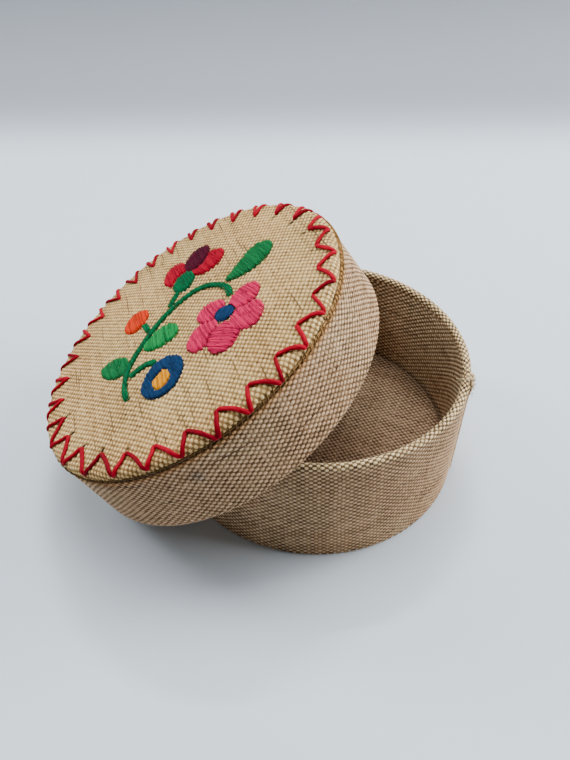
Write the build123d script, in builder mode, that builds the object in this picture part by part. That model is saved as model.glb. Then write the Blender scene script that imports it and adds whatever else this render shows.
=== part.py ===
from build123d import *
import math
import os

os.makedirs("parts", exist_ok=True)

# A round fabric-covered board box with a loose lid, resting open: the lid leans
# on the rim of the base. Origin: centre of the base's underside. Millimetres.

# Driving dimensions of the base
base_radius = 50.0          # outside of the cover at the table
base_rim_radius = 49.2      # outside of the cover at the rim
base_height = 42.5
linen = 0.5                 # thickness of the woven cover and lining
wall_board_thickness = 1.9
rim_fold_depth = 2.5        # how far the cover is folded in over the rim
board_top = base_height - 0.9

floor_board_thickness = 2.0
floor_card_thickness = 1.2
floor_padding_thickness = 2.5
slip = 0.1                  # gap round a disc that is pushed into a tube

# Driving dimensions of the lid, measured from the plane of its rim
lid_rim_radius = 55.2
lid_seam_radius = 54.0
lid_seam_height = 23.2      # seam between the side and the padded top
lid_board_thickness = 1.6
lid_top_board_thickness = 2.0
ceiling_card_thickness = 0.8
pad_card_thickness = 1.0
top_padding_thickness = 1.5
top_edge_radius = 2.4
top_cover_radius = 53.8
seam_thread_radius = 0.3

# Where the lid leans: the centre of its rim and its tilt towards -X
lid_centre = (-29.1, -2.1, 32.6)
lid_tilt = 31.4

# Stitching
stitch_height = 0.5
tooth_count = 30
zigzag_width = 1.2


# ---------------------------------------------------------------- helpers

def base_outer(z):
    """Outside radius of the base's cover at height z."""
    return base_radius + (base_rim_radius - base_radius) * z / base_height


def lid_outer(h):
    """Outside radius of the lid's side at height h above its rim."""
    return lid_rim_radius + (lid_seam_radius - lid_rim_radius) * h / lid_seam_height


tilt = math.radians(lid_tilt)
lid_plane = Plane(
    origin=lid_centre,
    x_dir=(math.cos(tilt), 0, math.sin(tilt)),
    z_dir=(-math.sin(tilt), 0, math.cos(tilt)),
)
lid_section = Plane(origin=lid_centre, x_dir=lid_plane.x_dir, z_dir=-lid_plane.y_dir)
lid_axis = Axis(lid_plane.origin, lid_plane.z_dir)


def turned(section, axis, *points):
    """A solid turned about axis from a straight-sided section."""
    with BuildPart() as piece:
        with BuildSketch(section):
            with BuildLine():
                Polyline(*points, close=True)
            make_face()
        revolve(axis=axis)
    return piece


def finish(piece, name):
    """Label one sub-part and write it."""
    piece.part.label = name
    export_step(piece.part, f"parts/{name}.step")
    print(f"{name:24s} {len(piece.part.solids())} solid(s) {piece.part.volume:10.1f} mm3")


# ---------------------------------------------------------------- base

rim_half = wall_board_thickness / 2 + linen
arc_z = base_height - rim_half
fold_z = base_height - rim_fold_depth
board_out = linen
board_in = linen + wall_board_thickness
wall_in = board_in + linen

floor_board_z = linen
floor_card_z = floor_board_z + floor_board_thickness
floor_padding_z = floor_card_z + floor_card_thickness
floor_top = floor_padding_z + floor_padding_thickness + linen

with BuildPart() as base_bottom_cover:
    with BuildSketch(Plane.XY):
        Circle(base_outer(linen) - linen)
    extrude(amount=linen)
finish(base_bottom_cover, "base_bottom_cover")

with BuildPart() as base_floor_board:
    with BuildSketch(Plane.XY.offset(floor_board_z)):
        Circle(base_outer(floor_card_z) - board_in - slip)
    extrude(amount=floor_board_thickness)
finish(base_floor_board, "base_floor_board")

base_wall_board = turned(
    Plane.XZ, Axis.Z,
    (base_outer(linen) - board_out, linen),
    (base_outer(board_top) - board_out, board_top),
    (base_outer(board_top) - board_in, board_top),
    (base_outer(linen) - board_in, linen),
)
finish(base_wall_board, "base_wall_board")

with BuildPart() as base_outer_cover:
    with BuildSketch(Plane.XZ):
        with BuildLine():
            outer_edge = (base_outer(arc_z), arc_z)
            inner_edge = (base_outer(arc_z) - wall_in, arc_z)
            crown = (base_outer(arc_z) - wall_in / 2, base_height)
            ThreePointArc(outer_edge, crown, inner_edge)
            Polyline(
                inner_edge,
                (base_outer(fold_z) - wall_in, fold_z),
                (base_outer(fold_z) - board_in, fold_z),
                (base_outer(board_top) - board_in, board_top),
                (base_outer(board_top) - board_out, board_top),
                (base_outer(0) - board_out, 0),
                (base_outer(0), 0),
                outer_edge,
            )
        make_face()
    revolve(axis=Axis.Z)
finish(base_outer_cover, "base_outer_cover")

base_inner_lining = turned(
    Plane.XZ, Axis.Z,
    (base_outer(floor_card_z) - board_in, floor_card_z),
    (base_outer(fold_z) - board_in, fold_z),
    (base_outer(fold_z) - wall_in, fold_z),
    (base_outer(floor_card_z) - wall_in, floor_card_z),
)
finish(base_inner_lining, "base_inner_lining")

# The floor inside: a card, soft padding over it, and the lining wrapped round both
floor_radius = base_outer(floor_top) - wall_in - slip
pad_radius = floor_radius - linen
floor_edge = 1.6            # rounding of the padding's upper edge

with BuildPart() as base_floor_card:
    with BuildSketch(Plane.XY.offset(floor_card_z)):
        Circle(pad_radius)
    extrude(amount=floor_card_thickness)
finish(base_floor_card, "base_floor_card")

with BuildPart() as base_floor_padding:
    with BuildSketch(Plane.XY.offset(floor_padding_z)):
        Circle(pad_radius)
    extrude(amount=floor_padding_thickness)
    fillet(base_floor_padding.edges().sort_by(Axis.Z)[-1], radius=floor_edge)
finish(base_floor_padding, "base_floor_padding")

with BuildPart() as base_floor_lining:
    with BuildSketch(Plane.XY.offset(floor_card_z)):
        Circle(floor_radius)
    extrude(amount=floor_top - floor_card_z)
    fillet(base_floor_lining.edges().sort_by(Axis.Z)[-1], radius=floor_edge + linen)
    add(base_floor_card.part, mode=Mode.SUBTRACT)
    add(base_floor_padding.part, mode=Mode.SUBTRACT)
finish(base_floor_lining, "base_floor_lining")

# The outer cover's side seam: a narrow overlapping strip that follows the wall
seam_azimuth = -17.0
seam_strip_width = 5.0
seam_strip_thickness = 0.4

with BuildPart() as base_seam_strip:
    with BuildSketch(Plane.XZ):
        with BuildLine():
            Polyline(
                (base_outer(0.4), 0.4),
                (base_outer(arc_z), arc_z),
                (base_outer(arc_z) + seam_strip_thickness, arc_z),
                (base_outer(0.4) + seam_strip_thickness, 0.4),
                close=True,
            )
        make_face()
    revolve(axis=Axis.Z)
    with BuildSketch(Plane.XY):
        with Locations(Rotation(0, 0, seam_azimuth) * Location((base_radius, 0))):
            Rectangle(10, seam_strip_width, rotation=0)
    extrude(amount=base_height, mode=Mode.INTERSECT)
finish(base_seam_strip, "base_seam_strip")

# ---------------------------------------------------------------- lid shell

lid_board_out = linen
lid_board_in = linen + lid_board_thickness
lid_wall_in = lid_board_in + linen
lid_rim_half = lid_wall_in / 2
lid_board_foot = 0.9
lid_fold_height = 3.0
top_board_h = lid_seam_height - lid_top_board_thickness
ceiling_card_h = top_board_h - ceiling_card_thickness
ceiling_h = ceiling_card_h - linen
pad_card_h = lid_seam_height
padding_h = pad_card_h + pad_card_thickness
padding_top_h = padding_h + top_padding_thickness
lid_top_h = padding_top_h + linen

lid_wall_board = turned(
    lid_section, lid_axis,
    (lid_outer(lid_board_foot) - lid_board_out, lid_board_foot),
    (lid_outer(top_board_h) - lid_board_out, top_board_h),
    (lid_outer(top_board_h) - lid_board_in, top_board_h),
    (lid_outer(lid_board_foot) - lid_board_in, lid_board_foot),
)
finish(lid_wall_board, "lid_wall_board")

with BuildPart() as lid_top_board:
    with BuildSketch(lid_plane.offset(top_board_h)):
        Circle(lid_outer(lid_seam_height) - lid_board_out)
    extrude(amount=lid_top_board_thickness)
finish(lid_top_board, "lid_top_board")

seam_bevel = 0.45           # the side cover's upper edge rolls in to the seam
with BuildPart() as lid_side_cover:
    with BuildSketch(lid_section):
        with BuildLine():
            outer_edge = (lid_outer(lid_rim_half), lid_rim_half)
            inner_edge = (lid_outer(lid_rim_half) - lid_wall_in, lid_rim_half)
            crown = (lid_outer(lid_rim_half) - lid_rim_half, 0)
            ThreePointArc(outer_edge, crown, inner_edge)
            Polyline(
                inner_edge,
                (lid_outer(lid_fold_height) - lid_wall_in, lid_fold_height),
                (lid_outer(lid_fold_height) - lid_board_in, lid_fold_height),
                (lid_outer(lid_board_foot) - lid_board_in, lid_board_foot),
                (lid_outer(lid_board_foot) - lid_board_out, lid_board_foot),
                (lid_outer(lid_seam_height) - lid_board_out, lid_seam_height),
                (lid_outer(lid_seam_height) - seam_bevel, lid_seam_height),
                (lid_outer(lid_seam_height - 0.7), lid_seam_height - 0.7),
                outer_edge,
            )
        make_face()
    revolve(axis=lid_axis)
    add(lid_top_board.part, mode=Mode.SUBTRACT)
finish(lid_side_cover, "lid_side_cover")

lid_side_lining = turned(
    lid_section, lid_axis,
    (lid_outer(lid_fold_height) - lid_board_in, lid_fold_height),
    (lid_outer(ceiling_h) - lid_board_in, ceiling_h),
    (lid_outer(ceiling_h) - lid_wall_in, ceiling_h),
    (lid_outer(lid_fold_height) - lid_wall_in, lid_fold_height),
)
finish(lid_side_lining, "lid_side_lining")

ceiling_radius = lid_outer(top_board_h) - lid_board_in - slip
with BuildPart() as lid_ceiling_card:
    with BuildSketch(lid_plane.offset(ceiling_card_h)):
        Circle(ceiling_radius - linen)
    extrude(amount=ceiling_card_thickness)
finish(lid_ceiling_card, "lid_ceiling_card")

with BuildPart() as lid_ceiling_lining:
    with BuildSketch(lid_plane.offset(ceiling_h)):
        Circle(ceiling_radius)
    extrude(amount=top_board_h - ceiling_h)
    add(lid_ceiling_card.part, mode=Mode.SUBTRACT)
finish(lid_ceiling_lining, "lid_ceiling_lining")

# ---------------------------------------------------------------- padded top

tuck_radius = top_cover_radius - 0.5        # the cover is drawn in under the edge
edge_h = lid_top_h - top_edge_radius
flat_radius = top_cover_radius - top_edge_radius
pad_edge_radius = top_edge_radius - linen


def edge_point(radius, angle):
    """A point on the top's rounded edge, radius out from the edge's centre line."""
    a = math.radians(angle)
    return (flat_radius + radius * math.cos(a), edge_h + radius * math.sin(a))


with BuildPart() as lid_top_cover:
    with BuildSketch(lid_section):
        with BuildLine():
            ThreePointArc(
                edge_point(top_edge_radius, 0),
                edge_point(top_edge_radius, 45),
                edge_point(top_edge_radius, 90),
            )
            Polyline(
                edge_point(top_edge_radius, 90),
                (0, lid_top_h),
                (0, padding_top_h),
                edge_point(pad_edge_radius, 90),
            )
            ThreePointArc(
                edge_point(pad_edge_radius, 90),
                edge_point(pad_edge_radius, 45),
                edge_point(pad_edge_radius, 0),
            )
            Polyline(
                edge_point(pad_edge_radius, 0),
                (tuck_radius - linen, lid_seam_height),
                (tuck_radius, lid_seam_height),
                edge_point(top_edge_radius, 0),
            )
        make_face()
    revolve(axis=lid_axis)
finish(lid_top_cover, "lid_top_cover")

with BuildPart() as lid_pad_card:
    with BuildSketch(lid_plane.offset(pad_card_h)):
        Circle(tuck_radius - linen)
    extrude(amount=pad_card_thickness)
finish(lid_pad_card, "lid_pad_card")

padding_foot = math.degrees(math.asin((padding_h - edge_h) / pad_edge_radius))
with BuildPart() as lid_top_padding:
    with BuildSketch(lid_section):
        with BuildLine():
            ThreePointArc(
                edge_point(pad_edge_radius, padding_foot),
                edge_point(pad_edge_radius, (padding_foot + 90) / 2),
                edge_point(pad_edge_radius, 90),
            )
            Polyline(
                edge_point(pad_edge_radius, 90),
                (0, padding_top_h),
                (0, padding_h),
                edge_point(pad_edge_radius, padding_foot),
            )
        make_face()
    revolve(axis=lid_axis)
finish(lid_top_padding, "lid_top_padding")

seam_thread_at = (lid_seam_radius - 0.05, lid_seam_height + 0.1)
with BuildPart() as lid_seam_thread:
    with BuildSketch(lid_section):
        with Locations(seam_thread_at):
            Circle(seam_thread_radius)
    revolve(axis=lid_axis)
finish(lid_seam_thread, "lid_seam_thread")

# ---------------------------------------------------------------- zigzag edge stitch

outer_vertex_radius = top_cover_radius + 0.8


def inner_vertex(k):
    """Inner end of stitch k. The hand-sewn teeth bunch up a little at one side."""
    even = -360.0 * k / tooth_count
    a = math.radians(even)
    angle = even + 2.5 + 2.5 * math.cos(a - 0.38) + 2.3 * math.cos(2 * a - 2.31)
    radius = 46.9 + 1.5 * math.cos(a + 0.63)
    return (angle, radius)


def polar(angle, radius):
    a = math.radians(angle)
    return (radius * math.cos(a), radius * math.sin(a))


def zigzag_corners():
    """The zigzag's corners in turn: an inner one, then the outer one after it."""
    corners = []
    for k in range(tooth_count):
        here, radius = inner_vertex(k)
        after = inner_vertex((k + 1) % tooth_count)[0]
        if k == tooth_count - 1:
            after -= 360
        corners.append(polar(here, radius))
        corners.append(polar((here + after) / 2, outer_vertex_radius))
    return corners


with BuildPart() as edge_zigzag_stitch:
    with BuildSketch(lid_section):
        with BuildLine():
            ThreePointArc(
                edge_point(top_edge_radius, 0),
                edge_point(top_edge_radius, 45),
                edge_point(top_edge_radius, 90),
            )
            Polyline(
                edge_point(top_edge_radius, 90),
                (42, lid_top_h),
                (42, lid_top_h + stitch_height),
                edge_point(top_edge_radius + stitch_height, 90),
            )
            ThreePointArc(
                edge_point(top_edge_radius + stitch_height, 90),
                edge_point(top_edge_radius + stitch_height, 45),
                edge_point(top_edge_radius + stitch_height, 0),
            )
            Line(edge_point(top_edge_radius + stitch_height, 0), edge_point(top_edge_radius, 0))
        make_face()
    revolve(axis=lid_axis)
    with BuildSketch(lid_plane.offset(lid_seam_height)):
        corners = zigzag_corners()
        for start, end in zip(corners, corners[1:] + corners[:1]):
            dx = end[0] - start[0]
            dy = end[1] - start[1]
            with Locations(((start[0] + end[0]) / 2, (start[1] + end[1]) / 2)):
                Rectangle(
                    math.hypot(dx, dy) + zigzag_width,
                    zigzag_width,
                    rotation=math.degrees(math.atan2(dy, dx)),
                )
    extrude(amount=lid_top_h, mode=Mode.INTERSECT)
finish(edge_zigzag_stitch, "edge_zigzag_stitch")

# ---------------------------------------------------------------- embroidery
# Positions are in the plane of the lid's top, from its centre: x up the slope, y to the back.

face = lid_plane.offset(lid_top_h)
worked = []                 # the patches made so far, which the next ones stop short of


def stop_short(piece):
    """Cut away what earlier patches already cover."""
    for other in worked:
        add(other.part, mode=Mode.SUBTRACT)
    worked.append(piece)


def oval(name, centre, half_width, half_height, turn=0.0):
    """An oval block of satin stitches."""
    with BuildPart() as piece:
        with BuildSketch(face):
            with Locations(centre):
                Ellipse(half_width, half_height, rotation=turn)
        extrude(amount=stitch_height)
        stop_short(piece)
    finish(piece, name)
    return piece


def stem(name, points, width):
    """A line of stem stitch along a smooth curve."""
    with BuildPart() as piece:
        with BuildSketch(face):
            with BuildLine() as line:
                Spline(*points)
            trace(line.line, line_width=width)
        extrude(amount=stitch_height)
        stop_short(piece)
    finish(piece, name)
    return piece


def leaf(name, outline):
    """A leaf with a pointed tip: the first point is the tip."""
    with BuildPart() as piece:
        with BuildSketch(face):
            with BuildLine():
                Spline(*outline, outline[0])
            make_face()
        extrude(amount=stitch_height)
        stop_short(piece)
    finish(piece, name)
    return piece


oval("maroon_petal", (4.7, 30.5), 4.9, 6.6, -11)
oval("sepal", (0.2, 20.2), 4.3, 5.2, 8)
oval("red_petal_right", (9.6, 24.7), 6.2, 5.7, 20)
oval("red_petal_left", (-4.0, 27.3), 4.6, 6.8, 16)

oval("pink_flower_centre", (18.0, -8.2), 3.3, 3.4)
pink_petals = [
    ((12.9, -4.1), 5.2, 4.7, -35),
    ((24.6, -4.0), 5.2, 5.0, 35),
    ((25.4, -13.6), 5.5, 6.2, 25),
    ((17.9, -18.6), 5.4, 6.0, 0),
    ((10.6, -13.6), 5.1, 6.1, -25),
]
for number, (centre, half_width, half_height, turn) in enumerate(pink_petals, start=1):
    oval(f"pink_petal_{number}", centre, half_width, half_height, turn)

oval("navy_flower_centre", (-2.7, -24.0), 3.3, 4.0)
oval("navy_flower_ring", (-2.6, -22.7), 7.3, 8.0)
oval("orange_bud", (-18.0, 11.6), 4.9, 5.3)

stem(
    "main_stem",
    [
        (19.3, -0.6), (18.4, 3.5), (15.2, 7.8), (6.3, 11.6), (-2.3, 8.6), (-9.4, 2.3),
        (-13.7, -3.9), (-17.0, -11.7), (-17.0, -19.5), (-14.8, -25.5),
    ],
    2.0,
)
stem("sepal_stalk", [(-1.8, 15.6), (-3.2, 12.6), (-4.1, 9.9)], 1.9)
stem("bud_stalk", [(-14.2, 7.6), (-12.9, 5.4), (-11.6, 2.6)], 1.8)
stem("navy_flower_stalk", [(-15.6, -16.0), (-12.5, -14.4), (-9.4, -13.9), (-6.3, -15.2)], 2.0)

leaf("leaf_upper", [(17.4, 8.2), (22.5, 16.0), (30.0, 20.2), (34.0, 15.6), (31.0, 9.4), (25.0, 6.8)])
leaf("leaf_middle", [(-12.3, -4.8), (-9.2, -0.4), (-4.6, 1.2), (0.2, -2.0), (0.6, -6.6), (-2.7, -8.4)])
leaf("leaf_left", [(-29.4, -4.2), (-22.0, -3.4), (-18.0, -7.4), (-18.2, -12.6), (-22.0, -13.0), (-26.8, -10.2)])
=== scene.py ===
"""Looks for the round linen-covered sewing box with a leaning, embroidered lid."""
import bpy
import math
import numpy as np
from mathutils import Matrix, Vector


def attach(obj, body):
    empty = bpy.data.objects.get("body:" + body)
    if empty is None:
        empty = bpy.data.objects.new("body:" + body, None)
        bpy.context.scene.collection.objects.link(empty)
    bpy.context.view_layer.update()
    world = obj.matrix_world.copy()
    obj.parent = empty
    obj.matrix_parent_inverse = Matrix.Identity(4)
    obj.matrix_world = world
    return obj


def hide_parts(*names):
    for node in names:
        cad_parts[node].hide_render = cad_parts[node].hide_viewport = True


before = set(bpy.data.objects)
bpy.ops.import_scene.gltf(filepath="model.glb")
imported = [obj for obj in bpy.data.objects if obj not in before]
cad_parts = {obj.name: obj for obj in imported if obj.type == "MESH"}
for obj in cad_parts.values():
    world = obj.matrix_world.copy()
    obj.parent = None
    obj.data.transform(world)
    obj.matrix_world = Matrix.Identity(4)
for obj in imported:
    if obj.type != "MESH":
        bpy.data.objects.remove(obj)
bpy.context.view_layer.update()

MM = 0.001


# ---------- reading the frame

def node_points(node):
    """A CAD node's vertices, in millimetres."""
    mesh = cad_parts[node].data
    flat = np.empty(len(mesh.vertices) * 3, np.float32)
    mesh.vertices.foreach_get("co", flat)
    return flat.reshape(-1, 3).astype(float) / MM


def flat_face_normal(node):
    """The upward normal of the node's largest face."""
    widest = max(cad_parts[node].data.polygons, key=lambda p: p.area)
    normal = np.array(widest.normal, float)
    return normal * np.sign(normal[2])


class Place:
    """A round body's own frame: origin on its axis, x and y across, h along the axis."""

    def __init__(self, axis, origin):
        self.n = axis
        self.y = np.array([0.0, 1.0, 0.0])
        self.x = np.cross(self.y, axis)
        self.origin = origin

    def inside(self, points):
        d = points - self.origin
        return np.stack([d @ self.x, d @ self.y, d @ self.n], -1)

    def world(self, x, y, h):
        return self.origin + x[..., None] * self.x + y[..., None] * self.y + h[..., None] * self.n

    def around(self, r, angle, h):
        """The points at a radius, an angle and a height."""
        return self.world(r * np.cos(angle), r * np.sin(angle), h)

    def direction(self, out, angle, up):
        """The direction at an angle with these parts outwards and along the axis."""
        x, y = out * np.cos(angle), out * np.sin(angle)
        return x[..., None] * self.x + y[..., None] * self.y + up[..., None] * self.n

    def ring(self, node):
        """The node's radii and heights in this frame."""
        p = self.inside(node_points(node))
        return np.hypot(p[:, 0], p[:, 1]), p[:, 2]


base = Place(np.array([0.0, 0.0, 1.0]), np.zeros(3))

lid_axis = flat_face_normal("lid_top_board")
lid = Place(lid_axis, np.zeros(3))
lid_extent = lid.inside(node_points("lid_side_cover"))
lid_middle = (lid_extent.min(0) + lid_extent.max(0)) / 2
lid.origin = lid.world(*[np.array(c) for c in (lid_middle[0], lid_middle[1], lid_extent[:, 2].min())])


# ---------- meshes
def new_object(name, data):
    thing = bpy.data.objects.new(name, data)
    bpy.context.scene.collection.objects.link(thing)
    return thing


def simple_object(name, points, faces, material):
    """A smooth object from points in millimetres and faces with any number of corners."""
    mesh = bpy.data.meshes.new(name)
    mesh.from_pydata([tuple(c * MM for c in p) for p in points], [], [tuple(int(i) for i in f) for f in faces])
    mesh.polygons.foreach_set("use_smooth", np.full(len(faces), True))
    mesh.materials.append(material)
    return new_object(name, mesh)
def make_piece(name, body, verts, faces, uvs, material, marks=None):
    """A mesh piece from arrays in millimetres. faces and uvs are lists of (count, corners, ...) arrays."""
    mesh = bpy.data.meshes.new(name)
    mesh.vertices.add(len(verts))
    mesh.vertices.foreach_set("co", (np.asarray(verts) * MM).astype(np.float32).ravel())
    loops = np.concatenate([f.ravel() for f in faces]).astype(np.int32)
    sizes = np.concatenate([np.full(len(f), f.shape[1], np.int32) for f in faces])
    starts = np.concatenate([[0], np.cumsum(sizes)[:-1]]).astype(np.int32)
    mesh.loops.add(len(loops))
    mesh.loops.foreach_set("vertex_index", loops)
    mesh.polygons.add(len(sizes))
    mesh.polygons.foreach_set("loop_start", starts)
    mesh.polygons.foreach_set("loop_total", sizes)
    layer = mesh.uv_layers.new(name="UVMap")
    layer.data.foreach_set("uv", np.concatenate([u.reshape(-1, 2) for u in uvs]).astype(np.float32).ravel())
    for mark, strength in (marks or {}).items():
        mesh.attributes.new(mark, "FLOAT", "POINT").data.foreach_set("value", strength.astype(np.float32))
    mesh.update(calc_edges=True)
    mesh.polygons.foreach_set("use_smooth", np.full(len(mesh.polygons), True))
    mesh.materials.append(material)
    piece = new_object(name, mesh)
    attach(piece, body)
    return piece


def grid_faces(rows, columns, closed):
    """Quads of a grid of rows by columns vertices, closed round the columns or not."""
    across = np.arange(columns if closed else columns - 1)
    i, j = np.meshgrid(np.arange(rows - 1), across, indexing="ij")
    after = (j + 1) % columns
    quads = np.stack([i * columns + j, i * columns + after, (i + 1) * columns + after, (i + 1) * columns + j], -1)
    return quads.reshape(-1, 4)


# ---------- cloth

# Rows of thick, crimped weft threads ride over thin, nearly straight warp threads, so every
# second crossing is a raised bump, painted brighter as a highlight, and the others lie low between
# them, painted darker as shade. For both: how far the thread waves up and down, how far its back
# stands up, and half its width, in shares of the pitch.
WEFT_RISE, WEFT_BACK, WEFT_HALF = 0.17, 0.24, 0.53
WARP_RISE, WARP_BACK, WARP_HALF = 0.03, 0.19, 0.34
WEAVE = 0.16            # half the height between a bump and a hollow, mm


def smooth_noise(a, b, seed, scale):
    """A gentle wandering value of two lengths in mm, about -1 to 1, from a few waves."""
    rng = np.random.default_rng(seed)
    total = np.zeros(np.broadcast(a, b).shape)
    for _ in range(5):
        angle, phase = rng.uniform(0, 2 * math.pi, 2)
        length = scale * rng.uniform(0.7, 1.6)
        total += np.sin(2 * math.pi * (a * math.cos(angle) + b * math.sin(angle)) / length + phase)
    return total / 3


def weave_height(u, v):
    """Height in mm of plain-woven cloth, threads counted by u and v: every second crossing is a bump."""
    yarn = 1 + 0.2 * np.sin(0.7 * u + 1.3 * np.sin(0.31 * v)) * np.sin(0.9 * v + 1.1 * np.sin(0.23 * u))
    return WEAVE * (yarn * np.sin(math.pi * u) * np.sin(math.pi * v) - 1)


class Profile:
    """A sheet's section: points (radius, height) from its inner or lower edge, with its outward side on the right."""

    def __init__(self, points, side=1.0):
        self.points = np.array(points, float)
        steps = np.hypot(*np.diff(self.points, axis=0).T)
        self.t = np.concatenate([[0], np.cumsum(steps)])
        self.length = self.t[-1]
        self.side = side

    def at(self, t):
        """Radius, height and the outward direction's two parts, at distances t along the section."""
        def part(column, distance):
            return np.interp(distance, self.t, self.points[:, column])

        step = 0.15
        dr, dh = (part(column, t + step) - part(column, t - step) for column in (0, 1))
        size = np.hypot(dr, dh) + 1e-9
        return part(0, t), part(1, t), self.side * dh / size, -self.side * dr / size


def arc(centre, radius, start, end, steps=14):
    """Points along an arc in the section plane, angles in degrees."""
    angles = np.radians(np.linspace(start, end, steps))
    return [(centre[0] + radius * math.cos(a), centre[1] + radius * math.sin(a)) for a in angles]


def corner_uvs(uu, vv, corners):
    return np.stack([uu.ravel()[corners], vv.ravel()[corners]], -1)


def cloth_band(name, body, place, profile, pitch, samples, turned, seam, material, seed,
               lap=0.0, swell=None, marks=None):
    """Cloth wrapped round a tube from the angle seam, its ends lapped over each other by lap mm.

    pitch is the spacing of its upright and its level threads in mm, samples the mesh steps to each
    thread, and turned how far the weave is turned from upright, in degrees.
    """
    lap_rise, lap_slope = 0.4, 1.2
    middle = profile.points[:, 0].mean()
    whole = 2 * math.pi * middle
    s = np.linspace(0, whole + lap, round((whole + lap) / pitch[0] * samples) + 1)
    t = np.linspace(0, profile.length, round(profile.length / pitch[1] * samples) + 1)
    tt, ss = np.meshgrid(t, s, indexing="ij")
    wander_s = ss + 0.3 * smooth_noise(ss, tt, seed, 22)
    wander_t = tt + 0.25 * smooth_noise(ss, tt, seed + 1, 27)
    a = math.radians(turned)
    uu = (wander_s * math.cos(a) - wander_t * math.sin(a)) / pitch[0]
    vv = (wander_s * math.sin(a) + wander_t * math.cos(a)) / pitch[1]
    turn = math.radians(seam) + ss / middle
    r, h, nr, nh = profile.at(tt)
    out = weave_height(uu, vv) + lap_rise * np.clip((ss - whole + lap_slope) / lap_slope, 0, 1) * (lap > 0)
    reach = r + out * nr + (swell(turn, h) if swell else 0)
    verts = place.around(reach, turn, h + out * nh)
    marked = {mark: strength(turn, h).ravel() for mark, strength in (marks or {}).items()}
    faces = grid_faces(len(t), len(s), closed=False)
    if profile.side < 0:
        faces = faces[:, ::-1]
    uvs = corner_uvs(uu, vv, faces)
    return make_piece(name, body, verts.reshape(-1, 3), [faces], [uvs], material, marked)


def cloth_disc(name, body, place, profile, pitch, samples, angle, material, seed,
               crown=None, swell=None, marks=None):
    """Cloth drawn over a disc and down its edge. profile runs from the centre outwards."""
    reach = profile.length
    count_u, count_v = int(reach / pitch[0]) + 1, int(reach / pitch[1]) + 1
    u = np.arange(-count_u * samples, count_u * samples + 1) / samples
    v = np.arange(-count_v * samples, count_v * samples + 1) / samples
    uu, vv = np.meshgrid(u, v, indexing="ij")
    a = math.radians(angle)
    sx, sy = uu * pitch[0], vv * pitch[1]
    bend_x = 0.3 * smooth_noise(sx, sy, seed, 30)
    bend_y = 0.3 * smooth_noise(sx, sy, seed + 1, 26)
    x = (sx + bend_x) * math.cos(a) - (sy + bend_y) * math.sin(a)
    y = (sx + bend_x) * math.sin(a) + (sy + bend_y) * math.cos(a)
    rho = np.hypot(x, y)
    r, h, nr, nh = profile.at(np.minimum(rho, reach))
    turn = np.arctan2(y, x)
    out = weave_height(uu, vv)
    if crown:
        h = h + crown(r * np.cos(turn), r * np.sin(turn))
    wide = r + out * nr + (swell(turn, h) * (r / profile.points[-1, 0]) ** 4 if swell else 0)
    verts = place.around(wide, turn, h + out * nh)
    marked = {mark: strength(x, y) for mark, strength in (marks or {}).items()}
    faces = grid_faces(len(u), len(v), closed=False)
    faces = faces[(rho <= reach).ravel()[faces].all(1)]
    if profile.side * place.n[2] < 0:
        faces = faces[:, ::-1]
    used, index = np.unique(faces, return_inverse=True)
    faces = index.reshape(-1, 4)
    uvs = corner_uvs(uu, vv, used[faces])
    marked = {mark: strength.ravel()[used] for mark, strength in marked.items()}
    return make_piece(name, body, verts.reshape(-1, 3)[used], [faces], [uvs], material, marked)


# ---------- threads

def tubes(paths, normals, half_width, half_height, sides=8, taper=2):
    """Threads along paths (count, points, 3), flattened against normals. Returns verts, faces, uvs."""
    count, points, _ = paths.shape
    tangent = np.gradient(paths, axis=1)
    tangent /= np.linalg.norm(tangent, axis=2, keepdims=True)
    across = np.cross(tangent, normals)
    across /= np.linalg.norm(across, axis=2, keepdims=True)
    up = np.cross(across, tangent)
    size = np.ones(points)
    ends = np.linspace(0.35, 1, taper + 1)[:-1]
    size[:taper], size[-taper:] = ends, ends[::-1]
    round_ = 2 * math.pi * np.arange(sides) / sides
    half_width = np.broadcast_to(np.asarray(half_width, float), (count,))
    half_height = np.broadcast_to(np.asarray(half_height, float), (count,))
    wide = half_width[:, None] * size[None]
    high = half_height[:, None] * size[None]
    verts = (paths[:, :, None] + across[:, :, None] * (wide[..., None] * np.cos(round_))[..., None]
             + up[:, :, None] * (high[..., None] * np.sin(round_))[..., None])
    one = grid_faces(points, sides, closed=True)
    step = points * sides
    quads = (one[None] + (np.arange(count) * step)[:, None, None]).reshape(-1, 4)
    along = np.concatenate([np.zeros((count, 1)), np.cumsum(np.linalg.norm(np.diff(paths, axis=1), axis=2), 1)], 1)
    ring, side = one // sides, one % sides
    side = np.where((side.max(1, keepdims=True) == sides - 1) & (side == 0), sides, side)
    quad_uv = np.stack([
        along[:, ring],
        np.broadcast_to(side / sides * 0.98, (count,) + one.shape) + np.arange(count)[:, None, None],
    ], -1).reshape(-1, 4, 2)
    first = np.arange(sides)[None] + (np.arange(count) * step)[:, None]
    last = first[:, ::-1] + (points - 1) * sides
    caps = np.concatenate([first[:, ::-1], last[:, ::-1]])
    cap_uv = np.zeros(caps.shape + (2,))
    cap_uv[..., 1] = np.tile(np.arange(count), 2)[:, None] + 0.25
    return verts.reshape(-1, 3), [quads, caps], [quad_uv, cap_uv]


def node_outline(node, top_h):
    """The triangles of a stitch block's upper face, in the lid's plane."""
    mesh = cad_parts[node].data
    mesh.calc_loop_triangles()
    corners = np.empty(len(mesh.loop_triangles) * 3, np.int32)
    mesh.loop_triangles.foreach_get("vertices", corners)
    points = lid.inside(node_points(node))[corners.reshape(-1, 3)]
    return points[(points[:, :, 2] > top_h).all(1)][:, :, :2]


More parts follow.
